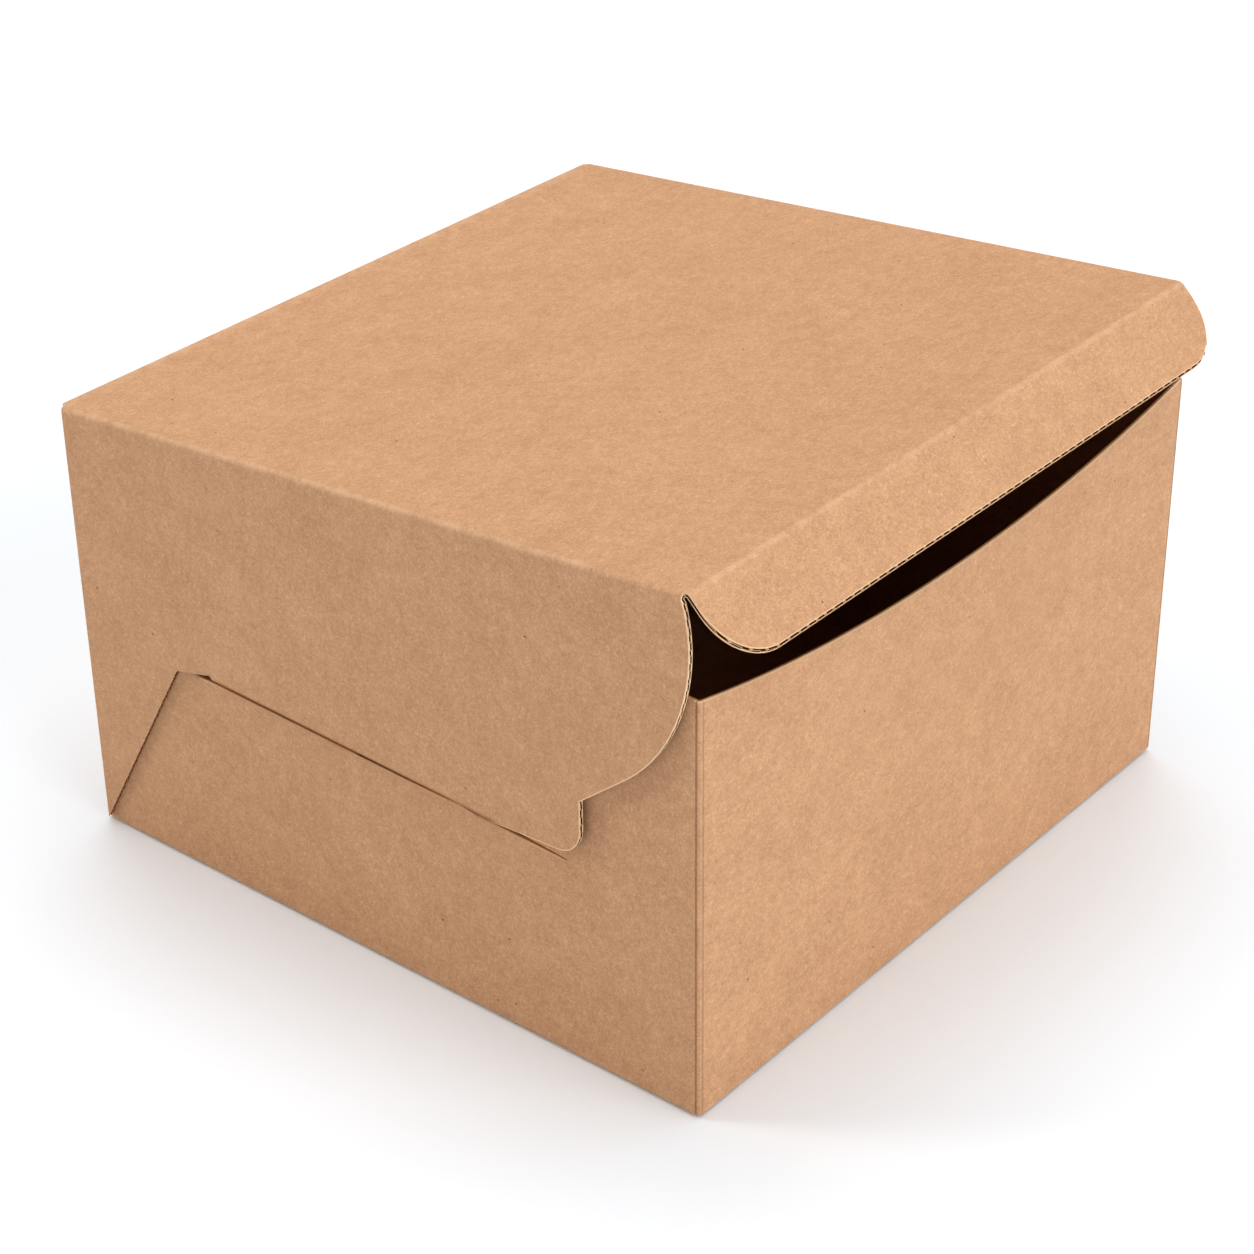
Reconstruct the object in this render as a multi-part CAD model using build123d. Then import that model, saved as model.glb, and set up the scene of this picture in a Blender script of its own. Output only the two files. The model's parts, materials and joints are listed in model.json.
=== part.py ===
from build123d import *
import math
import os

os.makedirs("parts", exist_ok=True)

# The board: fine corrugated card, liner to liner
board = 1.5
fold_inner_radius = 0.3
fold_outer_radius = board + fold_inner_radius
hinge_gap = 0.3
ear_gap = 0.3

# The board's wave: its spaces open as small mouths along each edge cut across the flutes
flute_pitch = 3.5
liner = 0.25
wave_sheet = 0.2
flute_contact = 0.9
mouth_depth = 5.0

# The tray, outside sizes; the origin is the middle of its underside
width = 250.0
depth = 250.0
front_height = 141.0
back_wall_extra = 12.0
dish_drop = 13.0
dish_margin = 3.0
side_drop_at_back = 3.0
corner_hole = 1.6

# The lid stands a little open: its front crease is higher than its back fold
lid_rise = 20.0
lid_setback = 3.5

# The front flap hangs half open from the lid's front crease
flap_length = 25.0
flap_corner_radius = 18.0
flap_droop = 45.0

# The slit in each side wall, from its back end to its front end; drops are from the back wall's top
slit_back_inset = 44.5
slit_back_drop = 78.5
slit_front_inset = 47.5
slit_front_drop = 83.5
slit_hairline = 0.6
slit_nick = 3.0

# The ears: the lid's side flaps, outside the side walls; rises are above the slit's front end
ear_back_inset = 3.0
ear_tip_z = 2.5
ear_front_reach = 2.0
ear_curve_radius = 57.0
ear_curve_drop = 19.5
ear_curve_sweep = 50.0
ear_notch_inset = 40.0
ear_toe_rise = 4.5
ear_toe_radius = 8.5
ear_heel_inset = 92.0
ear_heel_rise = 1.7
ear_relief_inset = 57.5
ear_relief_rise = 2.3
ear_relief_lean = 4.0
ear_relief_width = 0.6

# The tongue: the ear's lower edge, pushed through the slit and down inside the wall
tongue_back_inset = 46.0
tongue_depth = 11.9
tongue_lean = 7.0
lip_gap = 0.32

# Places that follow from these sizes, as (y, z) in the side view
half_width = width / 2
half_depth = depth / 2
back_height = front_height + back_wall_extra
lid_back_corner = Vector(half_depth, back_height)
lid_front_corner = Vector(-half_depth + lid_setback, back_height + lid_rise)
along_lid = (lid_front_corner - lid_back_corner).normalized()
above_lid = Vector(along_lid.Y, -along_lid.X)
lid_tilt = math.degrees(math.atan2(along_lid.Y, -along_lid.X))
flap_axis = lid_front_corner - above_lid * (board / 2) - along_lid * (board / 2)
ear_inner_x = half_width + ear_gap
ear_outer_x = ear_inner_x + board
ear_axis_x = ear_inner_x + board / 2
slit_back_y = half_depth - slit_back_inset
slit_front_y = -half_depth + slit_front_inset
slit_back_z = back_height - slit_back_drop
slit_front_z = back_height - slit_front_drop
tongue_back_z = slit_back_z - tongue_depth


def crease_z(y):
    """Height of the ears' crease line, half way through the lid's thickness."""
    middle = lid_back_corner - above_lid * (board / 2)
    return middle.Y + (y - middle.X) * along_lid.Y / along_lid.X


def slit_z(y):
    """Height of the slit's lower lip."""
    share = (y - slit_front_y) / (slit_back_y - slit_front_y)
    return slit_front_z + share * (slit_back_z - slit_front_z)


def side_view(points):
    """A face in the side view from its corners, given as (y, z)."""
    return Plane.YZ * make_face(Polyline(*points, close=True))


def make_flute_mouth(edge_point, inward, through, side):
    """One space between the wave and a liner, open at a cut edge; side is the liner's, 1 or -1."""
    half_mouth = (flute_pitch - flute_contact) / 2
    liner_face = side * (board / 2 - liner)
    corners = [(-half_mouth, liner_face), (half_mouth, liner_face), (0, -liner_face + side * wave_sheet)]
    across = through.cross(inward)
    plane = Plane(origin=edge_point, x_dir=across, z_dir=inward)
    mouth = plane * make_face(Polyline(*corners, close=True))
    return extrude(mouth, mouth_depth) + extrude(mouth, -half_mouth)


def make_tray():
    """Bottom and four walls, folded from one sheet, before the tops are trimmed."""
    outer = extrude(RectangleRounded(width, depth, fold_outer_radius), back_height)
    outer = fillet(outer.faces().sort_by(Axis.Z)[0].edges(), fold_outer_radius)
    inner_size = (width - 2 * board, depth - 2 * board)
    inner = extrude(RectangleRounded(*inner_size, fold_inner_radius), back_height)
    inner = fillet(inner.faces().sort_by(Axis.Z)[0].edges(), fold_inner_radius)
    return outer - Pos(0, 0, board) * inner


def make_wall_tops():
    """What lies above the walls: the dish over the front one, a slope over the sides."""
    back_inner_y = half_depth - board - fold_inner_radius
    side_back_z = back_height - board - side_drop_at_back
    above_sides = side_view(
        [
            (-half_depth - board, front_height),
            (-half_depth + fold_outer_radius, front_height),
            (back_inner_y, side_back_z),
            (back_inner_y, back_height + board),
            (-half_depth - board, back_height + board),
        ]
    )
    sides = extrude(above_sides, half_width + board, both=True)
    lid_line = side_view(
        [
            (half_depth - fold_outer_radius - board, back_height - board * 2),
            (half_depth + board, back_height - board * 2),
            (half_depth + board, back_height + board),
            (half_depth - fold_outer_radius - board, back_height + board),
        ]
    )
    back = extrude(lid_line, width, both=True)
    dish_half = half_width - fold_outer_radius - dish_margin
    dish_edge = ThreePointArc(
        (-dish_half, front_height), (0, front_height - dish_drop), (dish_half, front_height)
    )
    dish_top = Line((dish_half, front_height), (-dish_half, front_height))
    dish_face = Plane.XZ * make_face([dish_edge, dish_top])
    dish = Pos(0, -half_depth + 2 * board, 0) * extrude(dish_face, 4 * board)
    return sides + back + dish


def make_lid():
    """The back wall's top, the fold over it and the lid panel, as one bent strip."""
    lid_end = flap_axis - along_lid * (board / 2 + hinge_gap)
    inner_y = half_depth - board
    under = lid_back_corner - above_lid * board
    inner_corner_z = under.Y + (inner_y - under.X) * along_lid.Y / along_lid.X
    foot_z = back_height - 4 * board
    corners = [
        (half_depth, foot_z),
        (half_depth, back_height),
        lid_end + above_lid * (board / 2),
        lid_end - above_lid * (board / 2),
        (inner_y, inner_corner_z),
        (inner_y, foot_z),
    ]
    profile = make_face(Polyline(*corners, close=True))
    fold_outside = profile.vertices().sort_by_distance((half_depth, back_height))[0]
    profile = fillet(fold_outside, fold_outer_radius)
    fold_inside = profile.vertices().sort_by_distance((inner_y, inner_corner_z))[0]
    profile = fillet(fold_inside, fold_inner_radius)
    strip = extrude(Plane.YZ * profile, half_width, both=True)
    plan = extrude(RectangleRounded(width, depth, fold_outer_radius), back_height + lid_rise + board)
    return strip & plan


def jog_heights():
    """Heights above the lip at which the tongue's outer and inner faces bend."""
    half_turn = math.sqrt(2)
    outer_low = lip_gap * half_turn - ear_gap
    step = board + 2 * ear_gap + board
    outer_high = outer_low + step
    face_shift = board * (half_turn - 1)
    return outer_low, outer_high, outer_low + face_shift, outer_high + face_shift


def slot_height():
    """The slit stands this far open where the tongue passes."""
    inner_high = jog_heights()[3]
    return inner_high - ear_gap + lip_gap * math.sqrt(2)


def make_slit():
    """The slit's outline in the side view, cut through one side wall."""
    open_z = slot_height()
    heel_y = -half_depth + ear_heel_inset
    closing_y = heel_y - 2 * open_z
    points = [
        (slit_back_y, slit_z(slit_back_y)),
        (slit_front_y, slit_z(slit_front_y)),
        (slit_front_y, slit_z(slit_front_y) + slit_nick),
        (slit_front_y + slit_hairline, slit_z(slit_front_y) + slit_nick),
        (slit_front_y + slit_hairline, slit_z(slit_front_y) + slit_hairline),
        (closing_y, slit_z(closing_y) + slit_hairline),
        (heel_y - lip_gap, slit_z(heel_y) + open_z),
        (slit_back_y, slit_z(slit_back_y) + open_z),
    ]
    return extrude(side_view(points), half_width + board)


def make_corner_holes():
    """The small hole that is left where three folds meet, at each corner of the base."""
    reach = 2 * board
    hole = Cylinder(corner_hole / 2, 2 * reach)
    holes = []
    for sx in (-1, 1):
        for sy in (-1, 1):
            inside_x = sx * (half_width - fold_outer_radius)
            inside_y = sy * (half_depth - fold_outer_radius)
            inside = Vector(inside_x, inside_y, fold_outer_radius)
            outward = Vector(sx, sy, -1)
            holes.append(Plane(origin=inside, z_dir=outward) * hole)
    return holes


def make_tray_and_lid():
    """The tray and the lid, which hangs on the back wall by a fold."""
    body = make_tray() - make_wall_tops() + make_lid()
    slit = make_slit()
    body = body - slit - slit.mirror(Plane.YZ)
    for hole in make_corner_holes():
        body = body - hole
    return body


def make_flap_mouths(length):
    """The flutes' ends along the flap's free edge, round both of its corners."""
    mouths = []
    count = int((half_width - flute_pitch) / (flute_pitch / 2))
    for number in range(-count, count + 1):
        x = number * flute_pitch / 2
        into_corner = max(0, abs(x) - (half_width - flap_corner_radius))
        corner_lift = flap_corner_radius - math.sqrt(flap_corner_radius**2 - into_corner**2)
        side = 1 if number % 2 else -1
        edge_point = Vector(x, -length + corner_lift, 0)
        mouths.append(make_flute_mouth(edge_point, Vector(0, 1, 0), Vector(0, 0, 1), side))
    return mouths


def make_front_flap():
    """The flap on the lid's front crease, modelled flat and then turned to its droop."""
    length = flap_length - board / 2
    corners = [(-half_width, 0), (half_width, 0), (half_width, -length), (-half_width, -length)]
    panel_face = make_face(Polyline(*corners, close=True))
    low_corners = panel_face.vertices().group_by(Axis.Y)[0]
    panel_face = fillet(low_corners, flap_corner_radius)
    panel = Pos(0, 0, -board / 2) * extrude(panel_face, board)
    root = Rot(0, 90, 0) * Cylinder(board / 2, width)
    flap = panel + root - make_flap_mouths(length)
    return Pos(0, flap_axis.X, flap_axis.Y) * (Rot(flap_droop, 0, 0) * flap)


def ear_lower_edge(y):
    """The lower edge of the ear's toe and of its tongue, one straight cut."""
    toe_y = -half_depth + ear_notch_inset
    heel_y = -half_depth + ear_heel_inset
    share = (y - toe_y) / (heel_y - toe_y)
    return slit_front_z + ear_toe_rise + share * (ear_heel_rise - ear_toe_rise)


def ear_outline(bend_z):
    """The ear panel's outline in the side view, as a face, and the two ends of its crease."""
    back_y = half_depth - ear_back_inset
    toe_y = -half_depth + ear_notch_inset
    heel_y = -half_depth + ear_heel_inset
    centre = Vector(-half_depth + ear_front_reach + ear_curve_radius, lid_front_corner.Y - ear_curve_drop)
    to_touch = Vector(-1, 0).rotate(Axis.Z, ear_curve_sweep)
    touch = centre + to_touch * ear_curve_radius
    downhill = to_touch.rotate(Axis.Z, 90)
    notch = touch + downhill * ((toe_y - touch.X) / downhill.X)
    front_y = centre.X - math.sqrt(ear_curve_radius**2 - (crease_z(-half_depth) - centre.Y) ** 2)
    front_top = Vector(front_y, crease_z(front_y))
    front_most = Vector(centre.X - ear_curve_radius, centre.Y)
    toe_corner = Vector(toe_y, ear_lower_edge(toe_y))
    straight = [
        front_top,
        Vector(back_y, crease_z(back_y)),
        Vector(back_y, ear_tip_z),
        Vector(slit_back_y, slit_z(slit_back_y)),
        Vector(slit_back_y, slit_z(slit_back_y) + bend_z),
        Vector(heel_y, slit_z(heel_y) + bend_z),
        Vector(heel_y, ear_lower_edge(heel_y)),
        toe_corner,
        notch,
        touch,
    ]
    edges = [Line(a, b) for a, b in zip(straight, straight[1:])]
    edges.append(ThreePointArc(touch, front_most, front_top))
    outline = make_face(edges)
    toe = outline.vertices().sort_by_distance(toe_corner)[0]
    outline = fillet(toe, ear_toe_radius)
    return outline, Vector(back_y, crease_z(back_y)), front_top


def make_ear_mouths(outline):
    """The flutes' ends round the ear: the flutes run front to back, along the crease."""
    mouths = []
    through = Vector(1, 0, 0)
    toe_end = slit_front_z + ear_toe_rise + ear_toe_radius / 2
    number = 1
    while crease_z(half_depth) - number * flute_pitch / 2 > ear_tip_z + flute_pitch:
        drop = number * flute_pitch / 2
        side = 1 if number % 2 else -1
        number += 1
        line = Line((-depth, crease_z(-depth) - drop), (depth, crease_z(depth) - drop))
        ends = [vertex.center() for edge in (line & outline).edges() for vertex in edge.vertices()]
        ends.sort(key=lambda end: end.X)
        front, back = ends[0], ends[-1]
        if front.Y > toe_end or front.X > slit_back_y:
            inward = Vector(0, -along_lid.X, -along_lid.Y)
            mouths.append(make_flute_mouth(Vector(ear_axis_x, front.X, front.Y), inward, through, side))
        inward = Vector(0, along_lid.X, along_lid.Y)
        mouths.append(make_flute_mouth(Vector(ear_axis_x, back.X, back.Y), inward, through, side))
    return mouths


def make_relief_cut(bend_z):
    """The short cut that lets the back end of the tongue go deeper than the rest."""
    foot_y = half_depth - ear_relief_inset - ear_relief_lean
    head = Vector(half_depth - ear_relief_inset, slit_z(foot_y) + bend_z + ear_relief_rise)
    foot = Vector(foot_y, slit_z(foot_y) + lip_gap)
    step = Vector(ear_relief_width, 0)
    return extrude(side_view([head, foot, foot + step, head + step]), ear_outer_x + board)


def make_ear_panel(bend_z):
    """The ear's flat panel, outside the side wall, on the side of +X."""
    outline, crease_back, crease_front = ear_outline(bend_z)
    panel = Pos(ear_inner_x, 0, 0) * extrude(Plane.YZ * outline, board)
    start = Vector(ear_axis_x, crease_back.X, crease_back.Y)
    end = Vector(ear_axis_x, crease_front.X, crease_front.Y)
    crease = Plane(origin=start, z_dir=end - start) * Cylinder(
        board / 2, (end - start).length, align=(Align.CENTER, Align.CENTER, Align.MIN)
    )
    return panel + crease - make_ear_mouths(outline) - make_relief_cut(bend_z)


def make_tongue(bend_z):
    """The ear's lower strip on the side of +X: it jogs in through the slit."""
    outer_low, outer_high, inner_low, inner_high = jog_heights()
    tongue_outer_x = half_width - board - ear_gap
    tongue_inner_x = tongue_outer_x - board
    back_y = half_depth - tongue_back_inset
    heel_y = -half_depth + ear_heel_inset
    deep = slit_z(back_y) - tongue_back_z + board
    section = [
        (ear_outer_x, bend_z),
        (ear_outer_x, outer_high),
        (tongue_outer_x, outer_low),
        (tongue_outer_x, -deep),
        (tongue_inner_x, -deep),
        (tongue_inner_x, inner_low),
        (ear_inner_x, inner_high),
        (ear_inner_x, bend_z),
    ]
    face = make_face(Polyline(*[(x, slit_z(back_y) + z) for x, z in section], close=True))
    run = Vector(0, heel_y - back_y, slit_z(heel_y) - slit_z(back_y))
    strip = extrude(Pos(0, back_y, 0) * (Plane.XZ * face), amount=run.length, dir=run.normalized())
    trim = side_view(
        [
            (back_y, slit_z(back_y) + 2 * bend_z),
            (back_y, slit_z(back_y)),
            (back_y - tongue_lean, tongue_back_z),
            (heel_y, ear_lower_edge(heel_y)),
            (heel_y, slit_z(heel_y) + 2 * bend_z),
        ]
    )
    return (strip & extrude(trim, 2 * half_width)) - make_relief_cut(bend_z)


bend_height = jog_heights()[3] + ear_gap
right_ear = make_ear_panel(bend_height)
right_tongue = make_tongue(bend_height)

nodes = {
    "tray_and_lid": make_tray_and_lid(),
    "front_flap": make_front_flap(),
    "right_ear": right_ear,
    "right_ear_tongue": right_tongue,
    "left_ear": right_ear.mirror(Plane.YZ),
    "left_ear_tongue": right_tongue.mirror(Plane.YZ),
}

for name, shape in nodes.items():
    export_step(shape, f"parts/{name}.step")

print(f"flap axis y {flap_axis.X:.4f} z {flap_axis.Y:.4f}, lid tilt {lid_tilt:.3f} deg")
print(f"ear axis x {ear_axis_x:.3f}, through y 0 z {crease_z(0):.4f}")
print(f"slot height {slot_height():.3f}, bend height {bend_height:.3f}")
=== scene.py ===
import json
import math
import random

import bmesh
import bpy
from mathutils import Matrix
from mathutils import Vector


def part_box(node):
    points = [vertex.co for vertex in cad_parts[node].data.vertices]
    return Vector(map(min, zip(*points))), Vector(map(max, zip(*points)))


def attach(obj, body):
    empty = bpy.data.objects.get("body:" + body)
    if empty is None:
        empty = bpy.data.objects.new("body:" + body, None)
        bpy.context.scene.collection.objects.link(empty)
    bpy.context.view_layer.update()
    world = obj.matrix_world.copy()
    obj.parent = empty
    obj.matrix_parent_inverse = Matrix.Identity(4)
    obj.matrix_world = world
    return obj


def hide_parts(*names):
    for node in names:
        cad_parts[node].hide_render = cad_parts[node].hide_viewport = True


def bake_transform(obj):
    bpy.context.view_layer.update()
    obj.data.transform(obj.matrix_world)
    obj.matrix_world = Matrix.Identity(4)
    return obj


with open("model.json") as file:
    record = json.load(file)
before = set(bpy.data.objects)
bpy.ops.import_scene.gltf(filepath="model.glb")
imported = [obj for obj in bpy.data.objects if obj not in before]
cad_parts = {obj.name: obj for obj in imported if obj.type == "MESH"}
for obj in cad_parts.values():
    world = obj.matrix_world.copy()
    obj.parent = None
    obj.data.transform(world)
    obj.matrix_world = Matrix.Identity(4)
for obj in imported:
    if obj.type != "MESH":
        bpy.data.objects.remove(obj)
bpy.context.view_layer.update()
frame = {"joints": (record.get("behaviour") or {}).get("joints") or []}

mm = 0.001

# The board: two liners with a wave between them
board = 1.5 * mm
liner = 0.30 * mm
wave_sheet = 0.24 * mm
wave_step = 2.1 * mm
wave_wall = 0.45 * mm
half_board = board / 2
fold_radius = 1.8 * mm
fold_middle_radius = fold_radius - half_board
fold_arc = fold_middle_radius * math.pi / 2

tray_liner = 0.50 * mm
core_recess = 0.02 * mm
inner_recess = 0.80 * mm
lip_bevel = 0.35 * mm
wall_hollow = 0.6 * mm

# Spacing of the cuts that let a flat sheet bend
skin_grid = 5 * mm
flap_grid = 4 * mm
hidden_grid = 12 * mm
bottom_grid = 20 * mm

# How much the folds are rubbed and lit by a painted highlight, from 0 to 1, and how far from their middle
ear_rub_highlight = 0.55
ear_rub_highlight_width = 1.0 * mm
lid_rub_highlight = 0.4
lid_rub_highlight_width = 1.5 * mm
flap_rub_highlight = 0.35
flap_rub_highlight_width = 1.2 * mm
foot_rub_highlight = 0.3
foot_rub_highlight_width = 1.0 * mm
corner_rub_highlight = 0.05
# How brown the two scores of each upright fold are: the crushed card's brown, with the groove's painted
# shade
score_browns_and_shade = (0.3, 0.55)

# The tray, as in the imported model
front_height = 141 * mm
dish_drop = 13 * mm
side_drop_at_back = 3 * mm
score_depth = 0.25 * mm
score_width = 0.35 * mm
foot_lift = 0.6 * mm
foot_lift_height = 20 * mm

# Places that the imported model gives
tray_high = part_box("tray_and_lid")[1]
joints = {joint["name"]: joint for joint in frame["joints"]}
ear_joint = joints["right_ear_fold"]
flap_joint = joints["front_flap_fold"]
along_lid = Vector(ear_joint["axis"])
above_lid = Vector((0, along_lid.z, -along_lid.y))
lid_tilt = math.atan2(along_lid.z, -along_lid.y)
ear_axis_point = Vector(ear_joint["pos_m"])
flap_axis_point = Vector(flap_joint["pos_m"])
half_width = tray_high.x
half_depth = tray_high.y

# The lid's top line in the side view, from its back corner at u = 0 to its front one
lid_top_middle = Vector((0, ear_axis_point.y, ear_axis_point.z)) + above_lid * half_board
lid_back = lid_top_middle - along_lid * ((half_depth - lid_top_middle.y) / -along_lid.y)

# The ears' outline in the side view, and the slits they lock in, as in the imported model
back_height = 153 * mm
ear_back_y = half_depth - 3 * mm
ear_tip_z = 2.5 * mm
ear_curve_radius = 57 * mm
ear_curve_centre = Vector((-half_depth + 2 * mm + ear_curve_radius, 153.5 * mm))
ear_curve_start = 160.5
ear_curve_end = 230
ear_curve_steps = 30
ear_toe_y = -half_depth + 39.6 * mm
ear_toe_z = 76.3 * mm
ear_toe_radius = 10 * mm
ear_toe_steps = 10
# Width of the strip along the ear's front and toe that takes the light cut colour, partly a painted
# highlight
ear_lip = 0.30 * mm
ear_heel = Vector((-half_depth + 92 * mm, 71.2 * mm))
tongue_back_y = 77.5 * mm
tongue_low = Vector((72 * mm, 62.6 * mm))
slit_back = Vector((half_depth - 44.5 * mm, 74.5 * mm))
slit_front = Vector((-half_depth + 47.5 * mm, 69.5 * mm))
jog_depth = 3.6 * mm
jog_height = 3.6 * mm
jog_start_y = -50 * mm
jog_run = 20 * mm
relief_foot = Vector((63.4 * mm, 74.9 * mm))
relief_head = Vector((67.4 * mm, 81 * mm))
pressed_margin = 0.05 * mm
pressed_foot = Vector((relief_foot.x + 1.1 * mm, 77.2 * mm))
dent_depth = 2.3 * mm
dent_curve = 1.3
ear_flare = 2.6 * mm
flare_start_y = -45 * mm
flare_run = 60 * mm

# The front flap
flap_length = 25 * mm
flap_corner_radius = 18 * mm
flap_droop = math.radians(45)
liner_trim = 0.80 * mm
wave_trim = 0.30 * mm
# Width of the light strip along the flap's free edge: torn paper's tone and a painted highlight
torn_lip_highlight = 0.22 * mm


def smooth(t):
    """From 0 to 1 with level ends."""
    t = min(1.0, max(0.0, t))
    return t * t * (3 - 2 * t)


def arc_points(centre, radius, start, end, steps):
    """Points on an arc, with its angles in degrees."""
    angles = [math.radians(start + (end - start) * i / steps) for i in range(steps + 1)]
    return [centre + radius * Vector((math.cos(a), math.sin(a))) for a in angles]


def round_corner(before, corner, after, radius, steps):
    """The arc that rounds a corner between two straight edges."""
    to_before = (before - corner).normalized()
    to_after = (after - corner).normalized()
    half_turn = to_before.angle(to_after) / 2
    centre = corner + (to_before + to_after).normalized() * (radius / math.sin(half_turn))
    reach = radius / math.tan(half_turn)
    first = corner + to_before * reach - centre
    last = corner + to_after * reach - centre
    points = []
    for i in range(steps + 1):
        direction = first.slerp(last, i / steps).normalized()
        points.append(centre + direction * radius)
    return points


# Flat sheets of board, and the layers made of them


def place_key(place):
    """A flat place in tenths of a micrometre, to tell places apart."""
    return round(place[0] * 1e7), round(place[1] * 1e7)


def has_area(polygon):
    """Whether three or more of the polygon's corners lie apart."""
    return len({place_key(corner) for corner in polygon}) > 2


def in_outline(point, corners):
    """Whether the point lies inside the closed outline."""
    inside = False
    for a, b in zip(corners, corners[1:] + corners[:1]):
        if (a.y > point.y) != (b.y > point.y):
            crossing = a.x + (point.y - a.y) * (b.x - a.x) / (b.y - a.y)
            if crossing > point.x:
                inside = not inside
    return inside


class FlatSheet:
    """A flat piece of board as points and polygons in (u, v), cut finely enough to be bent."""

    def __init__(self, outline, lips=()):
        self.mesh = bmesh.new()
        known = {}
        for polygon in (outline, *lips):
            corners = []
            for u, v in polygon:
                key = place_key((u, v))
                if key not in known:
                    known[key] = self.mesh.verts.new((u, v, 0))
                if known[key] not in corners:
                    corners.append(known[key])
            self.mesh.faces.new(corners)

    def cut(self, point, direction, places, keep=None):
        """Cuts across direction at each of these distances from point, where keep allows it."""
        normal = Vector((direction[0], direction[1], 0)).normalized()
        start = Vector((point[0], point[1], 0))
        for place in places:
            faces = [f for f in self.mesh.faces if keep is None or keep(f.calc_center_median())]
            corners = dict.fromkeys(v for f in faces for v in f.verts)
            edges = dict.fromkeys(e for f in faces for e in f.edges)
            parts = [*corners, *edges, *faces]
            on_plane = start + normal * place
            bmesh.ops.bisect_plane(self.mesh, geom=parts, plane_co=on_plane, plane_no=normal, dist=1e-7)

    def open_hole(self, corners):
        """Cuts a hole with these corners, and nothing outside it."""
        corners = [Vector((u, v, 0)) for u, v in corners]
        near = 5 * mm
        for a, b in zip(corners, corners[1:] + corners[:1]):
            way = (b - a).normalized()
            length = (b - a).length

            def beside(centre, a=a, way=way, length=length):
                along = min(length, max(0.0, (centre - a).dot(way)))
                return (a + way * along - centre).length < near

            self.cut((a.x, a.y), (-way.y, way.x), [0], beside)
        inside = [f for f in self.mesh.faces if in_outline(f.calc_center_median(), corners)]
        bmesh.ops.delete(self.mesh, geom=inside, context="FACES")

    def facts(self):
        """Points, polygons and the directed edges of the outline."""
        self.mesh.verts.index_update()
        points = [(v.co.x, v.co.y) for v in self.mesh.verts]
        polygons = [[v.index for v in f.verts] for f in self.mesh.faces]
        rims = []
        for face in self.mesh.faces:
            for loop in face.loops:
                if len(loop.edge.link_faces) == 1:
                    rims.append((loop.vert.index, loop.link_loop_next.vert.index))
        return points, polygons, rims


class Pile:
    """Layers of board that are gathered into one object."""

    def __init__(self):
        self.points = []
        self.rest = []
        self.wear_and_shading = []
        self.polygons = []
        self.finishes = []

    def add_layer(self, sheet, low, high, place, wear_and_shading, finishes):
        """One closed layer between the offsets low and high, each a number or a function of the place.

        The finishes are for its top, its underside and its rim.
        """
        points, polygons, rims = sheet.facts()
        first = len(self.points)
        count = len(points)
        for offset in (high, low):
            for u, v in points:
                height = offset(u, v) if callable(offset) else offset
                self.points.append(place(u, v, height))
                self.wear_and_shading.append(wear_and_shading(u, v))
        for polygon in polygons:
            middle_u = sum(points[i][0] for i in polygon) / len(polygon)
            middle_v = sum(points[i][1] for i in polygon) / len(polygon)
            face, back = (f(middle_u, middle_v) if callable(f) else f for f in finishes[:2])
            self.polygons.append([first + i for i in polygon])
            self.finishes.append(face)
            self.polygons.append([first + count + i for i in reversed(polygon)])
            self.finishes.append(back)
        for a, b in rims:
            self.polygons.append([first + b, first + a, first + count + a, first + count + b])
            rim = finishes[2]
            if callable(rim):
                rim = rim((points[a][0] + points[b][0]) / 2, (points[a][1] + points[b][1]) / 2)
            self.finishes.append(rim)

    def make_object(self, name, materials):
        """The object, smooth except at its cut edges, with its wear and its painted highlight and shade
        kept as an attribute.
        """
        mesh = bpy.data.meshes.new(name)
        mesh.from_pydata([tuple(p) for p in self.points], [], self.polygons)
        mesh.validate()
        for material in materials:
            mesh.materials.append(material)
        mesh.polygons.foreach_set("material_index", self.finishes)
        attribute = mesh.attributes.new("wear_and_shading", "FLOAT", "POINT")
        attribute.data.foreach_set("value", self.wear_and_shading)
        rest = mesh.attributes.new("rest", "FLOAT_VECTOR", "POINT")
        rest.data.foreach_set("vector", [c for p in self.points for c in p])
        work = bmesh.new()
        work.from_mesh(mesh)
        bmesh.ops.recalc_face_normals(work, faces=work.faces)
        work.to_mesh(mesh)
        work.free()
        mesh.shade_smooth()
        mesh.set_sharp_from_angle(angle=math.radians(40))
        made = bpy.data.objects.new(name, mesh)
        bpy.context.scene.collection.objects.link(made)
        return made


def steps_between(low, high, step):
    """Evenly spaced places, about a step apart, without the two ends."""
    count = max(1, round((high - low) / step))
    return [low + (high - low) * i / count for i in range(1, count)]


def wave_walls(low, high, seed):
    """Where the wave crosses between the liners: uneven steps, as in real board."""
    dice = random.Random(seed)
    places = []
    place = low + wave_step / 2
    while place < high:
        places.append(place)
        place += wave_step * dice.uniform(0.78, 1.22)
    return places


def on_wall(walls, place):
    """Whether the wave is crossing between the liners at that place."""
    return any(abs(place - wall) < wave_wall / 2 for wall in walls)


def wave_offset(walls, place):
    """The wave's height at that place, as a share from -1 to 1."""
    height = 1
    for wall in walls:
        share = (place - wall + wave_wall / 2) / wave_wall
        if share >= 1:
            height = -height
        elif share > 0:
            return height * (1 - 2 * share)
    return height


# Materials

# The middle tone of each finish
kraft_middle = (0.550, 0.305, 0.164)
# Darker than the outside: painted shade on the box's inside faces and on the shaded slanting edge
inner_shade_middle = (0.40, 0.20, 0.10)
# Light tone of cut and torn paper; on the thin strips along free edges it also stands for a painted
# highlight
cut_middle = (0.86, 0.58, 0.35)
wave_middle = (0.76, 0.47, 0.26)
# Near black brown between the liners and inside the wave: painted shade in the board's hollows
gap_shade_middle = (0.070, 0.026, 0.009)
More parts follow.
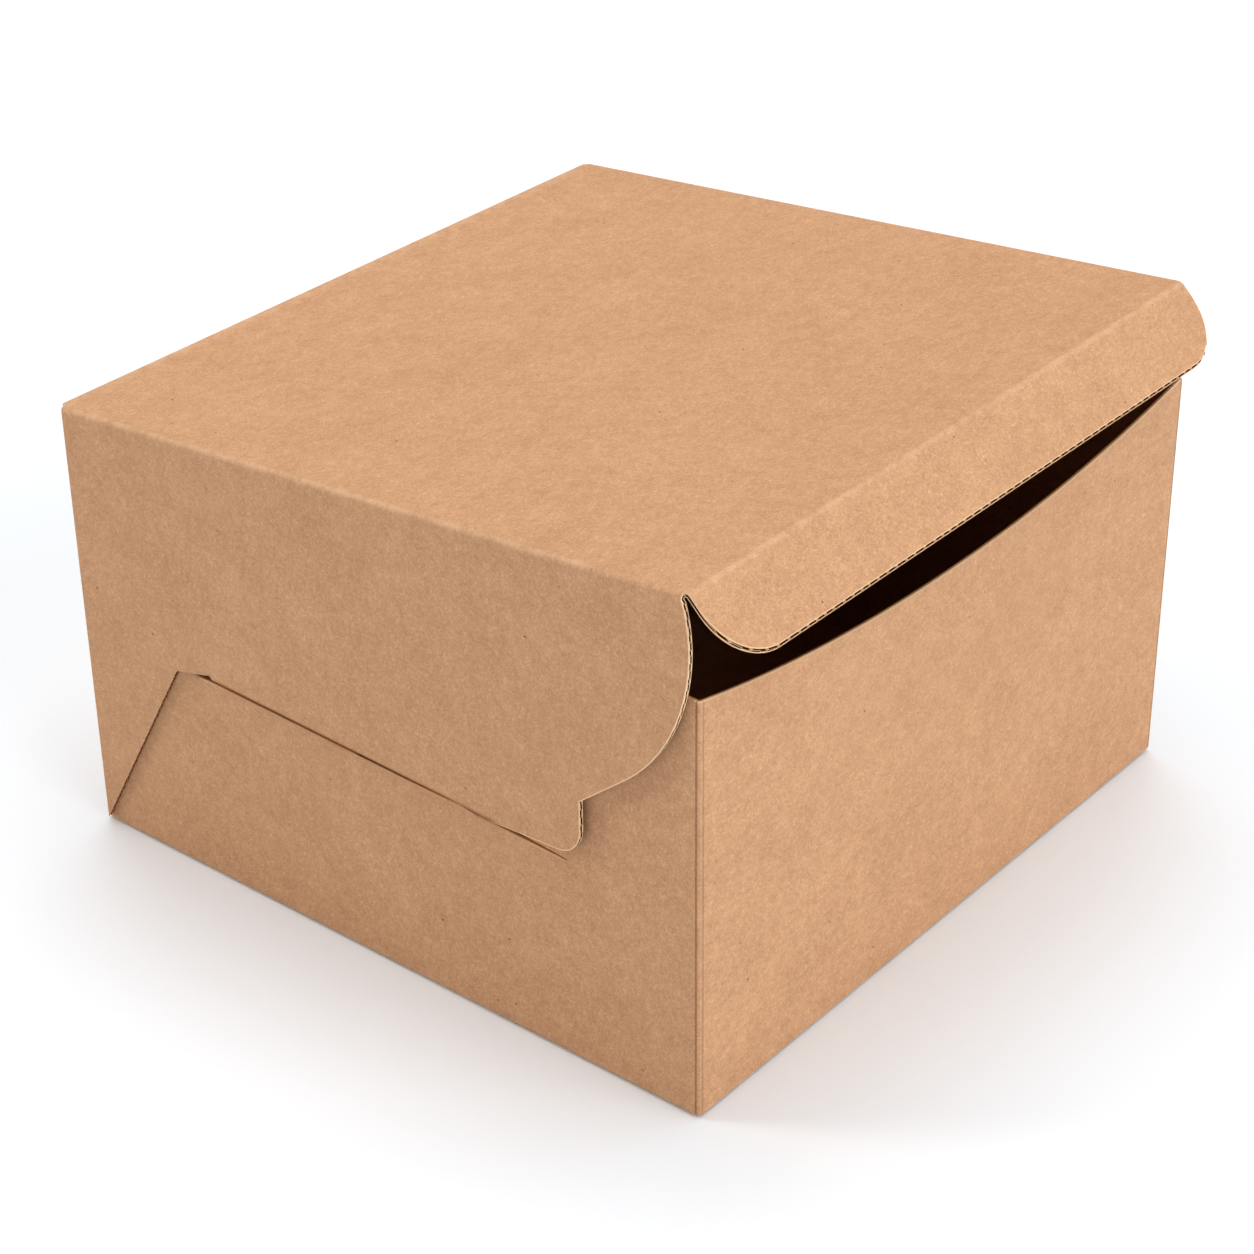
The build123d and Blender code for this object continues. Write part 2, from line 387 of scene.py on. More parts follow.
# Orange brown of the board's middle and the lining's cut edge: the paper's tone, darkened in part as
# painted shade on these recessed edges
core_middle = (0.58, 0.27, 0.11)
# Light tone of rubbed folds, which also paints their highlight
worn_highlight_tone = (0.80, 0.54, 0.34)

OUTSIDE, INSIDE_SHADE, CUT, WAVE, GAP_SHADE, CORE = range(6)


def rest_coordinates(tree, moving):
    """Where the grain lies: on the resting shape, so that it moves with the board."""
    if moving:
        attribute = tree.nodes.new("ShaderNodeAttribute")
        attribute.attribute_name = "rest"
        return attribute.outputs["Vector"]
    return tree.nodes.new("ShaderNodeTexCoord").outputs["Object"]


def add_noise(tree, where, size, detail, stretch=(1, 1, 1)):
    """A noise with grains of that size in metres, as a value about 0.5."""
    mapping = tree.nodes.new("ShaderNodeMapping")
    mapping.inputs["Scale"].default_value = stretch
    tree.links.new(where, mapping.inputs["Vector"])
    noise = tree.nodes.new("ShaderNodeTexNoise")
    noise.inputs["Scale"].default_value = 1 / size
    noise.inputs["Detail"].default_value = detail
    noise.inputs["Roughness"].default_value = 0.6
    tree.links.new(mapping.outputs["Vector"], noise.inputs["Vector"])
    return noise.outputs["Fac"]


def add_range(tree, value, low, high, to_low, to_high):
    """Maps a value's range to another, clamped."""
    ramp = tree.nodes.new("ShaderNodeMapRange")
    ramp.inputs["From Min"].default_value = low
    ramp.inputs["From Max"].default_value = high
    ramp.inputs["To Min"].default_value = to_low
    ramp.inputs["To Max"].default_value = to_high
    tree.links.new(value, ramp.inputs["Value"])
    return ramp.outputs["Result"]


def add_math(tree, operation, a, b):
    """One sum of two values; each is a socket or a number."""
    node = tree.nodes.new("ShaderNodeMath")
    node.operation = operation
    for slot, value in enumerate((a, b)):
        if isinstance(value, (int, float)):
            node.inputs[slot].default_value = value
        else:
            tree.links.new(value, node.inputs[slot])
    return node.outputs["Value"]


def add_mix(tree, share, a, b):
    """Mixes two colours; each is a socket or a colour."""
    node = tree.nodes.new("ShaderNodeMix")
    node.data_type = "RGBA"
    tree.links.new(share, node.inputs["Factor"])
    for name, value in (("A", a), ("B", b)):
        slot = [s for s in node.inputs if s.name == name and s.type == "RGBA"][0]
        if isinstance(value, tuple):
            slot.default_value = (*value, 1)
        else:
            tree.links.new(value, slot)
    return [s for s in node.outputs if s.type == "RGBA"][0]


def add_fibres(tree, where):
    """Short fine curly fibres, some lighter and some darker than the card, from about -1 to 1."""
    total = 0.0
    for number, (size, strength) in enumerate(((1.5, 1.0), (2.1, 1.0), (1.1, -0.6), (1.8, -0.5))):
        shifted = tree.nodes.new("ShaderNodeMapping")
        shifted.inputs["Location"].default_value = (0.31 * number, 0.17 * number, 0.05)
        shifted.inputs["Rotation"].default_value = (0.5 * number, 0.9 * number, 0.3)
        tree.links.new(where, shifted.inputs["Vector"])
        winding = add_noise(tree, shifted.outputs["Vector"], size * mm, 1.5, (0.8, 1, 1))
        off_line = add_math(tree, "ABSOLUTE", add_math(tree, "SUBTRACT", winding, 0.5), 0)
        line = add_range(tree, off_line, 0.008, 0.030, 1, 0)
        patches = add_noise(tree, shifted.outputs["Vector"], 0.9 * mm, 0)
        shown = add_range(tree, patches, 0.46, 0.58, 0, strength)
        total = add_math(tree, "ADD", add_math(tree, "MULTIPLY", line, shown), total)
    return total


def add_specks(tree, where, spacing, radius, share, stretch):
    """Sparse short marks: 1 inside a mark and 0 outside it."""
    mapping = tree.nodes.new("ShaderNodeMapping")
    mapping.inputs["Scale"].default_value = stretch
    mapping.inputs["Rotation"].default_value = (0.4, 0.7, 0.5)
    tree.links.new(where, mapping.inputs["Vector"])
    cells = tree.nodes.new("ShaderNodeTexVoronoi")
    cells.inputs["Scale"].default_value = 1 / spacing
    tree.links.new(mapping.outputs["Vector"], cells.inputs["Vector"])
    near = add_range(tree, cells.outputs["Distance"], radius * 0.4, radius, 1, 0)
    chosen = tree.nodes.new("ShaderNodeSeparateColor")
    tree.links.new(cells.outputs["Color"], chosen.inputs["Color"])
    picked = add_math(tree, "LESS_THAN", chosen.outputs["Red"], share)
    varied = add_range(tree, chosen.outputs["Green"], 0, 1, 0.4, 1)
    strength = add_math(tree, "MULTIPLY", picked, varied)
    return add_math(tree, "MULTIPLY", near, strength)


def scaled(colour, factors):
    """The colour with each channel multiplied, up to 1."""
    return tuple(min(1.0, channel * factor) for channel, factor in zip(colour, factors))


def make_kraft(name, middle, moving, contrast=1.0, sheen=0.15):
    """Kraft card: mottled, grained, with fine fibres and specks; rubbed folds with a painted highlight,
    brown scores and pressed places with painted shade.
    """
    material = bpy.data.materials.new(name)
    material.use_nodes = True
    tree = material.node_tree
    shader = tree.nodes["Principled BSDF"]
    where = rest_coordinates(tree, moving)
    clouds = add_noise(tree, where, 22 * mm, 2)
    mottle = add_noise(tree, where, 4.5 * mm, 3, (0.8, 1, 1))
    blots = add_noise(tree, where, 1.5 * mm, 1, (0.7, 1, 1))
    grain = add_noise(tree, where, 0.62 * mm, 2)
    fibres = add_fibres(tree, where)
    tone = add_math(tree, "MULTIPLY", fibres, 0.17 * contrast)
    for noise, swing in ((clouds, 0.045), (mottle, 0.075), (blots, 0.06), (grain, 0.15)):
        swing *= contrast
        tone = add_math(tree, "ADD", tone, add_range(tree, noise, 0.3, 0.7, -swing, swing))
    share = add_math(tree, "ADD", tone, 0.5)
    lightest_red = 0.97
    spread = min(1.0, (lightest_red / middle[0] - 1) / 0.40)
    swings = (0.40, 0.48, 0.56)
    dark = scaled(middle, [1 - spread * swing for swing in swings])
    light = scaled(middle, [1 + spread * swing for swing in swings])
    paper = add_mix(tree, share, dark, light)
    dark_specks = add_specks(tree, where, 8 * mm, 0.055, 0.55, (1, 0.7, 1))
    paper = add_mix(tree, dark_specks, paper, scaled(middle, (0.22, 0.14, 0.09)))
    light_specks = add_specks(tree, where, 8 * mm, 0.055, 0.40, (0.6, 1, 1))
    paper = add_mix(tree, light_specks, paper, scaled(middle, (1.3, 1.4, 1.5)))
    # Above zero the attribute lightens: rubbed paper and a painted highlight; below zero it darkens: a
    # score's brown and painted shade
    rub_and_shading = tree.nodes.new("ShaderNodeAttribute")
    rub_and_shading.attribute_name = "wear_and_shading"
    patchy = add_range(tree, mottle, 0.35, 0.6, 0.25, 0.75)
    rub_highlight = add_range(tree, rub_and_shading.outputs["Fac"], 0, 1, 0, 1)
    rub_highlight = add_math(tree, "MULTIPLY", rub_highlight, patchy)
    paper = add_mix(tree, rub_highlight, paper, worn_highlight_tone)
    score_shade = add_range(tree, rub_and_shading.outputs["Fac"], 0, -1, 0, 1)
    paper = add_mix(tree, score_shade, paper, scaled(middle, (0.42, 0.30, 0.22)))
    tree.links.new(paper, shader.inputs["Base Color"])
    rough = add_range(tree, grain, 0.3, 0.7, 0.72, 0.86)
    tree.links.new(rough, shader.inputs["Roughness"])
    shader.inputs["Specular IOR Level"].default_value = sheen
    bump = tree.nodes.new("ShaderNodeBump")
    bump.inputs["Strength"].default_value = 0.25
    bump.inputs["Distance"].default_value = 0.08 * mm
    relief = add_math(tree, "ADD", grain, add_math(tree, "MULTIPLY", fibres, 0.12))
    tree.links.new(relief, bump.inputs["Height"])
    tree.links.new(bump.outputs["Normal"], shader.inputs["Normal"])
    return material


def board_materials(moving):
    """The board's finishes, in the order of their numbers."""
    suffix = "_bending" if moving else "_still"
    return [
        make_kraft("kraft_outside" + suffix, kraft_middle, moving),
        make_kraft("kraft_inside_shade" + suffix, inner_shade_middle, moving),
        make_kraft("kraft_cut" + suffix, cut_middle, moving, 0.7),
        make_kraft("kraft_wave" + suffix, wave_middle, moving),
        make_kraft("kraft_gap_shade" + suffix, gap_shade_middle, moving, sheen=0.0),
        make_kraft("kraft_core" + suffix, core_middle, moving),
    ]


# The corrugated board


def no_wear(u, v):
    """Card that nothing rubs."""
    return 0.0


def add_board(pile, sheets, walls, wave_along, place, wear_and_shading, faces, rim=CUT):
    """The two liners and the wave between them, each on a flat sheet cut for it."""
    outer, inner, wave_cuts = sheets
    outer_face, inner_face = faces
    wave_rim = rim if callable(rim) else WAVE
    wave_top = half_board - liner - wave_sheet / 2

    # Between the wave's walls the hollows take the near black gap finish: painted shade
    def wave_finish(u, v):
        return WAVE if on_wall(walls, wave_along(u, v)) else GAP_SHADE

    def wave_middle_at(u, v):
        return wave_top * wave_offset(walls, wave_along(u, v))

    pile.add_layer(outer, half_board - liner, half_board, place, wear_and_shading, (outer_face, GAP_SHADE, rim))
    pile.add_layer(inner, -half_board, liner - half_board, place, wear_and_shading, (inner_face, INSIDE_SHADE, rim))
    pile.add_layer(
        wave_cuts,
        lambda u, v: wave_middle_at(u, v) - wave_sheet / 2,
        lambda u, v: wave_middle_at(u, v) + wave_sheet / 2,
        place,
        no_wear,
        (wave_finish, wave_finish, wave_rim),
    )


# The ears


def to_ear(point):
    """From (y, z) in the side view to (u, v): along the crease, and down from the fold."""
    offset = Vector((0, point[0], point[1])) - lid_back
    return Vector((offset.dot(along_lid), -offset.dot(above_lid) - fold_radius))


def slit_line(y):
    """Height of the slit's lower lip."""
    share = (y - slit_front.x) / (slit_back.x - slit_front.x)
    return slit_front.y + share * (slit_back.y - slit_front.y)


def toe_edge(y):
    """Height of the straight lower edge of the toe."""
    share = (y - ear_toe_y) / (ear_heel.x - ear_toe_y)
    return ear_toe_z + share * (ear_heel.y - ear_toe_z)


def ear_outline():
    """The ear's flat outline with its tongue, from the lid's edge down, as (u, v) points."""
    turn = math.radians(ear_curve_end)
    curve = arc_points(
        ear_curve_centre, ear_curve_radius, ear_curve_start, ear_curve_end, ear_curve_steps
    )
    downhill = Vector((-math.sin(turn), math.cos(turn)))
    notch = curve[-1] + downhill * ((ear_toe_y - curve[-1].x) / downhill.x)
    toe_corner = Vector((ear_toe_y, toe_edge(ear_toe_y)))
    toe = round_corner(notch, toe_corner, ear_heel, ear_toe_radius, ear_toe_steps)
    side = curve + [notch] + toe + [ear_heel]
    tongue_top = [
        (tongue_back_y, -3.5 * mm),
        (tongue_back_y - 1.5 * mm, -2.2 * mm),
        (relief_foot.x + 2 * mm, -1.6 * mm),
    ]
    side += [tongue_low]
    side += [Vector((y, slit_line(y) + h)) for y, h in tongue_top]
    side += [
        relief_foot,
        relief_head,
        pressed_foot,
        slit_back,
        Vector((ear_back_y, ear_tip_z)),
        Vector((ear_back_y, back_height)),
    ]
    flat = [to_ear(p) for p in side]
    crease_front_u = flat[0].x
    crease_back_u = to_ear((ear_back_y, back_height)).x
    flat[0] = Vector((crease_front_u, 0))
    flat[-1] = Vector((crease_back_u, 0))
    return [Vector((crease_back_u, -fold_arc)), Vector((crease_front_u, -fold_arc))] + flat


def inset_ear(outline, first, last):
    """The outline with its points from first to last moved inwards, and the strips that this leaves."""
    inside = list(outline)
    for i in range(first, last + 1):
        before = (outline[i] - outline[i - 1]).normalized()
        after = (outline[i + 1] - outline[i]).normalized()
        way = (before + after).normalized()
        inside[i] = outline[i] + Vector((-way.y, way.x)) * ear_lip
    strips = []
    for i in range(first - 1, last + 1):
        strip = [outline[i], outline[i + 1], inside[i + 1], inside[i]]
        if has_area(strip):
            strips.append(strip)
    return inside, strips


def ear_inward(y, z):
    """How far the ear is pressed in at that place of the side view."""
    above = z - slit_line(y)
    rise = relief_head - relief_foot
    lean = relief_foot.x + (z - relief_foot.y) * rise.x / rise.y
    if y > lean + pressed_margin and above > -1 * mm:
        edge = (relief_head - slit_back).normalized()
        below = (Vector((y, z)) - slit_back).cross(edge)
        reach = (pressed_foot - slit_back).cross(edge)
        return dent_depth * max(0.0, below / reach) ** dent_curve
    if y > tongue_back_y + 1 * mm:
        return 0.0
    return jog_depth * smooth(1 - above / jog_height) * smooth((y - jog_start_y) / jog_run)


def place_on_ear(side):
    """Where the ear's flat points go: round the crease and down outside the wall."""
    across = Vector((side, 0, 0))

    def place(u, v, offset):
        top = lid_back + along_lid * u
        if v <= 0:
            turn = -v / fold_middle_radius
            centre = top - above_lid * fold_radius + across * half_width
            out = across * math.cos(turn) + above_lid * math.sin(turn)
            return centre + out * (fold_middle_radius + offset)
        point = top - above_lid * (fold_radius + v)
        flare = ear_flare * smooth((flare_start_y - point.y) / flare_run) * smooth(v / flare_run)
        x = half_width + fold_middle_radius + offset - ear_inward(point.y, point.z) + flare
        return point + across * x

    return place


def ear_rub_and_shading(u, v):
    """Rubbed paper and a painted highlight along the crease, least at its front end; painted shade where
    the slit presses it in.
    """
    if v > 0:
        point = lid_back + along_lid * u - above_lid * (fold_radius + v)
        above = point.z - slit_line(point.y)
        # Painted shade where the ear turns in towards the slit's lip
        if jog_start_y < point.y < relief_foot.x and -2 * mm < above < jog_height:
            return -smooth((jog_height - above) / (0.9 * mm))
    rub_and_shading = ear_rub_highlight * smooth(1 - abs(v + fold_arc * 0.5) / ear_rub_highlight_width)
    return rub_and_shading * smooth((245 * mm - u) / (40 * mm))


def make_ear(name, side, nodes, materials):
    """One ear with its tongue, folded round its crease with the lid."""
    outline = ear_outline()
    low_v = max(p.y for p in outline)
    low_u = min(p.x for p in outline)
    high_u = max(p.x for p in outline)
    lip_first = 3
    lip_last = lip_first + ear_curve_steps + ear_toe_steps + 1
    inside, strips = inset_ear(outline, lip_first, lip_last)
    skin = FlatSheet(inside, strips)
    lip_starts = outline[lip_first - 1:lip_last + 1]
    lip_ends = outline[lip_first:lip_last + 2]
    lip_edges = list(zip(lip_starts, lip_ends))

    def outer_face(u, v):
        """Along the ear's front and toe a thin strip of the liner takes the light cut colour: the cut
        paper's tone and a painted highlight on the edge.
        """
        here = Vector((u, v))
        for a, b in lip_edges:
            along = max(0.0, min(1.0, (here - a).dot(b - a) / (b - a).length_squared))
            if (a + (b - a) * along - here).length < ear_lip * 0.8:
                return CUT
        return OUTSIDE

    skin.cut((0, 0), (0, 1), [-fold_arc * k / 6 for k in range(1, 6)] + [0, 0.7 * mm, 1.4 * mm])
    skin.cut((0, 0), (1, 0), steps_between(low_u, high_u, flap_grid))
    lip = to_ear(slit_front)
    along_slit = (to_ear(slit_back) - lip).normalized()
    up_slit = Vector((-along_slit.y, along_slit.x))
    # Heights above the slit's lower lip: closest where the board is pressed in
    heights = [h * mm for h in range(-14, 0, 2)]
    heights += [h * 0.3 * mm for h in range(-1, 9)]
    heights += [h * mm for h in (3, 4, 5, 6, 7, 8, 9, 12, 16)]
    heights += [h * mm for h in range(20, 110, 5)]
    heights += [h * mm for h in range(-70, -14, 8)]
    skin.cut(lip, up_slit, heights, lambda centre: centre.y > 1.4 * mm)
    walls = wave_walls(0, low_v, 11)
    core = FlatSheet(outline)
    core.cut((0, 0), (0, 1), [-fold_arc * k / 4 for k in range(1, 4)] + [0])
    core.cut((0, 0), (0, 1), [w + s * wave_wall / 2 for w in walls for s in (-1, 1)])
    core.cut((0, 0), (1, 0), steps_between(low_u, high_u, hidden_grid))
    pile = Pile()
    place = place_on_ear(side)
    sheets = (skin, skin, core)
    tip = to_ear((ear_back_y, ear_tip_z))
    apex = to_ear(slit_back)

    def rim(u, v):
        """The slanting edge lies in shade, which is painted: its cut board takes the dark inside finish."""
        off_line = abs((Vector((u, v)) - apex).cross((tip - apex).normalized()))
        return INSIDE_SHADE if off_line < 0.05 * mm else CUT

    add_board(pile, sheets, walls, lambda u, v: v, place, ear_rub_and_shading, (outer_face, GAP_SHADE), rim)
    ear = pile.make_object(name, materials)
    crease = ear_axis_point.copy()
    crease.x = side * abs(crease.x)
    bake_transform(ear)
    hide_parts(*nodes)
    return ear


# The flap

lid_end_gap = 1.05 * mm


def flap_reach(trim):
    """How far from the crease a liner ends that is cut shorter by trim."""
    return flap_length - half_board - trim


def flap_outline(trim):
    """The flap's flat outline, from the lid's end down, as (u, v) points: u across, v down."""
    far = flap_reach(trim)
    left = round_corner(
        Vector((-half_width, 0)), Vector((-half_width, far)), Vector((0, far)), flap_corner_radius, 14
    )
    right = [Vector((-p.x, p.y)) for p in reversed(left)]
    start = -lid_end_gap
    return [Vector((half_width, start)), Vector((-half_width, start))] + left + right


def place_on_flap(u, v, offset):
    """Where the flap's flat points go: along the lid, round the crease and down the droop."""
    bend = lid_tilt + flap_droop
    radius = fold_middle_radius
    reach = radius * math.tan(bend / 2)
    arc = radius * bend
    axis = Vector((u, flap_axis_point.y, flap_axis_point.z))
    start = axis - along_lid * reach
    s = v + arc / 2
    if s < 0:
        return start + along_lid * s + above_lid * offset
    turn = min(s, arc) / radius
    centre = start - above_lid * radius
    way = along_lid * math.cos(turn) - above_lid * math.sin(turn)
    out = above_lid * math.cos(turn) + along_lid * math.sin(turn)
    point = centre + out * (radius + offset)
    if s > arc:
        point += way * (s - arc)
    return point


def flap_rub_and_highlight(u, v):
    """Rubbed paper and a painted highlight along the crease."""
    return flap_rub_highlight * smooth(1 - abs(v) / flap_rub_highlight_width)


def flap_edge_distance(trim):
    """A function that gives how far a place is from the free edge of a liner cut shorter by trim."""
    far = flap_reach(trim)

    def distance(u, v):
        middle_u = half_width - flap_corner_radius
        middle_v = far - flap_corner_radius
        if abs(u) > middle_u and v > middle_v:
            return flap_corner_radius - math.hypot(abs(u) - middle_u, v - middle_v)
        return far - v

    return distance


def flap_skin(trim):
    """One liner of the flap, cut finely enough to bend at the crease, with a lip along its free edge."""
    edge = flap_outline(trim)
    count = len(edge)
    inside = []
    far = flap_reach(trim)
    for u, v in edge:
        middle_u = max(-half_width + flap_corner_radius, min(half_width - flap_corner_radius, u))
        if v > far - flap_corner_radius + 1e-6:
            toward = Vector((u - middle_u, v - (far - flap_corner_radius)))
            toward *= 1 - torn_lip_highlight / toward.length
            inside.append(Vector((middle_u, far - flap_corner_radius)) + toward)
        else:
            inside.append(Vector((u, v)))
    lips = []
    for i in range(2, count - 1):
        lips.append([edge[i], edge[i + 1], inside[i + 1], inside[i]])
    lips = [lip for lip in lips if has_area(lip)]
    skin = FlatSheet(inside, lips)
    skin.cut((0, 0), (0, 1), [-0.9 * mm + 0.2 * mm * k for k in range(10)] + [1.4 * mm, 2 * mm])
    skin.cut((0, 0), (0, 1), steps_between(2 * mm, flap_length, 3 * mm))
    skin.cut((0, 0), (1, 0), steps_between(-half_width, half_width, flap_grid))
    return skin


def make_flap(materials):
    """The front flap, folded round the lid's front crease; its outer liner is cut a little shorter."""
    walls = wave_walls(-half_width, half_width, 5)
    core = FlatSheet(flap_outline(wave_trim))
    core.cut((0, 0), (1, 0), [w + s * wave_wall / 2 for w in walls for s in (-1, 1)])
    core.cut((0, 0), (0, 1), [-0.9 * mm + 0.45 * mm * k for k in range(5)])
    pile = Pile()
    sheets = (flap_skin(liner_trim), flap_skin(0), core)
    outer_distance = flap_edge_distance(liner_trim)
    inner_distance = flap_edge_distance(0)

    # A thin strip along each liner's free edge takes the light cut colour: torn paper's tone and a painted
    # highlight; past it the inner liner shows the dark gap finish, painted shade
    def outer_face(u, v):
        return CUT if outer_distance(u, v) < torn_lip_highlight * 0.9 and v > 0 else OUTSIDE

    def inner_face(u, v):
        return CUT if inner_distance(u, v) < torn_lip_highlight * 0.9 and v > 0 else GAP_SHADE

    add_board(pile, sheets, walls, lambda u, v: u, place_on_flap, flap_rub_and_highlight, (outer_face, inner_face))
    flap = pile.make_object("flap", materials)
    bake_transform(flap)
    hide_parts("front_flap")
    return flap


# Camera, floor and light


def make_camera():
    """The camera at the photograph's place: its aim is the point at the middle of the view."""
    azimuth = math.radians(-50.387)
    elevation = math.radians(30.459)
    roll = math.radians(-0.708)
    distance = 1007.25 * mm
    origin_right = 3.08 * mm
    origin_up = -52.64 * mm
    sensor_width = 36.0
    focal_pixels = 2983.7
    frame_pixels = 1254
    back = Vector(
        (
            math.sin(azimuth) * math.cos(elevation),
            -math.cos(azimuth) * math.cos(elevation),
            math.sin(elevation),
        )
    )
    level_right = Vector((math.cos(azimuth), math.sin(azimuth), 0))
    level_up = back.cross(level_right)
    right = level_right * math.cos(roll) + level_up * math.sin(roll)
    up = level_up * math.cos(roll) - level_right * math.sin(roll)
    data = bpy.data.cameras.new("camera")
    data.sensor_width = sensor_width
    data.lens = focal_pixels / frame_pixels * sensor_width
    camera = bpy.data.objects.new("camera", data)
    bpy.context.scene.collection.objects.link(camera)
    place = back * distance - right * origin_right - up * origin_up
    turn = Matrix((right, up, back)).transposed()
    camera.matrix_world = Matrix.Translation(place) @ turn.to_4x4()
    bpy.context.scene.camera = camera


def make_floor():
    """A wide white floor that keeps the box's shadow."""
    size = 6.0
    mesh = bpy.data.meshes.new("floor")
    corners = [(-size, -size, 0), (size, -size, 0), (size, size, 0), (-size, size, 0)]
    mesh.from_pydata(corners, [], [(0, 1, 2, 3)])
    floor = bpy.data.objects.new("floor", mesh)
    bpy.context.scene.collection.objects.link(floor)
    material = bpy.data.materials.new("floor_white")
    material.use_nodes = True
    shader = material.node_tree.nodes["Principled BSDF"]
    shader.inputs["Base Color"].default_value = (0.905, 0.955, 1.0, 1)
    shader.inputs["Roughness"].default_value = 0.9
    shader.inputs["Specular IOR Level"].default_value = 0.0
    mesh.materials.append(material)


def make_lights():
    """Soft studio light: a faint surround, a broad lamp above, one in front and weaker ones about."""
    world = bpy.data.worlds.new("surround")
    bpy.context.scene.world = world
    world.use_nodes = True
    tree = world.node_tree
    light = tree.nodes["Background"]
    light.inputs["Color"].default_value = (1, 1, 1, 1)
    light.inputs["Strength"].default_value = 0.10
    seen = tree.nodes.new("ShaderNodeBackground")
    seen.inputs["Color"].default_value = (1, 1, 1, 1)
    seen.inputs["Strength"].default_value = 1.0
    path = tree.nodes.new("ShaderNodeLightPath")
    rays = add_math(tree, "MAXIMUM", path.outputs["Is Camera Ray"], path.outputs["Is Glossy Ray"])
    rays = add_math(tree, "MAXIMUM", rays, path.outputs["Is Transmission Ray"])
    mix = tree.nodes.new("ShaderNodeMixShader")
    tree.links.new(rays, mix.inputs["Fac"])
    tree.links.new(light.outputs["Background"], mix.inputs[1])
    tree.links.new(seen.outputs["Background"], mix.inputs[2])
    tree.links.new(mix.outputs["Shader"], tree.nodes["World Output"].inputs["Surface"])
    # Each lamp's name, the way to it, its level, its width in degrees and its tint
    lamps = (
        ("top", (0.05, 0.05, 1.0), 0.52, 60, (1, 1, 1)),
        ("front", (0.05, -0.96, 0.28), 0.69, 60, (1, 1, 1)),
        ("left", (-0.96, -0.10, 0.28), 0.12, 60, (1, 0.84, 0.72)),
        ("behind", (-0.45, 0.75, 0.48), 0.28, 18, (1, 0.93, 0.87)),
        ("back", (0.35, 0.35, 0.87), 0.17, 35, (1, 1, 1)),
        ("right", (0.80, -0.30, 0.55), 0.13, 50, (1, 1, 1)),
    )
    for name, toward, level, softness, tint in lamps:
        data = bpy.data.lights.new(name, "SUN")
        data.energy = level * math.pi
        data.color = tint
        data.angle = math.radians(softness)
        lamp = bpy.data.objects.new(name, data)
        bpy.context.scene.collection.objects.link(lamp)
        lamp.rotation_euler = Vector(toward).to_track_quat("Z", "Y").to_euler()


# The tray: one strip of wall that runs round the box, clockwise seen from above, from the back's middle

tray_fold_radius = 1.55 * mm
tray_fold_middle = tray_fold_radius - half_board
tray_fold_arc = tray_fold_middle * math.pi / 2
wall_square = half_width - tray_fold_radius
wall_flat = 2 * wall_square
wall_runs = [wall_square, wall_flat, wall_flat, wall_flat, wall_square]
run_starts = [sum(wall_runs[:i]) + i * tray_fold_arc for i in range(5)]
wall_length = sum(wall_runs) + 4 * tray_fold_arc
corner_points = [
    Vector((wall_square, wall_square, 0)),
    Vector((wall_square, -wall_square, 0)),
    Vector((-wall_square, -wall_square, 0)),
    Vector((-wall_square, wall_square, 0)),
]
run_ways = [
    Vector((1, 0, 0)),
    Vector((0, -1, 0)),
    Vector((-1, 0, 0)),
    Vector((0, 1, 0)),
    Vector((1, 0, 0)),
]
BACK_RIGHT, RIGHT, FRONT, LEFT, BACK_LEFT = range(5)
back_fold_turn = math.pi / 2 - lid_tilt
back_fold_reach = fold_radius * math.tan(back_fold_turn / 2)
back_wall_top = back_height - back_fold_reach
side_back_top = back_height - board - side_drop_at_back
lid_end_u = 245.51 * mm


def along_side(side_run, y):
    """The strip's length coordinate of a place on the right or left wall."""
    if side_run == RIGHT:
        return run_starts[RIGHT] + wall_square - y
    return run_starts[LEFT] + wall_square + y


def dish_height(x):
    """Height of the front wall's dished top."""
    if abs(x) >= wall_square:
        return front_height
    radius = (wall_square**2 + dish_drop**2) / (2 * dish_drop)
    return front_height - dish_drop + radius - math.sqrt(radius**2 - x**2)


def wall_outline(recess):
    """The strip's outline, from its lower edge up; the bottom fold's arc is below its radius."""
    foot = tray_fold_radius - tray_fold_arc
    side_top = side_back_top - recess
    front_top = front_height - recess
    left_end = run_starts[BACK_LEFT] - tray_fold_arc
    points = [(0, foot), (wall_length, foot), (wall_length, back_wall_top), (left_end, back_wall_top)]
    points += [(left_end, side_top), (run_starts[LEFT], front_top)]
    steps = 48
    for i in range(steps + 1):
        x = -wall_square + 2 * wall_square * i / steps
        points.append((run_starts[FRONT] + wall_square - x, dish_height(x) - recess))
    points += [(run_starts[FRONT] - tray_fold_arc, front_top), (run_starts[RIGHT], side_top)]
    points += [(run_starts[RIGHT], back_wall_top), (0, back_wall_top)]
    return points


def score_line(run, number):
    """Where the two scores lie that the fold before this run is bent between."""
    return run_starts[run] - (tray_fold_arc if number == 0 else 0)


def score_offset(s):
    """How far the outside is pressed in along each side of the four upright folds."""
    offset = 0
    for run in (RIGHT, FRONT, LEFT, BACK_LEFT):
        for number in (0, 1):
            offset -= score_depth * smooth(1 - abs(s - score_line(run, number)) / score_width)
    return offset


def wall_bow(s, z):
    """A slight unevenness of the walls: none of them leans outwards where an ear lies."""
    for run in range(5):
        share = (s - run_starts[run]) / wall_runs[run]
        if 0 <= share <= 1:
            middle = math.sin(math.pi * share) if run in (RIGHT, FRONT, LEFT) else 0
            lift = smooth(z / front_height)
            return -wall_hollow * middle**2 * lift
    return 0


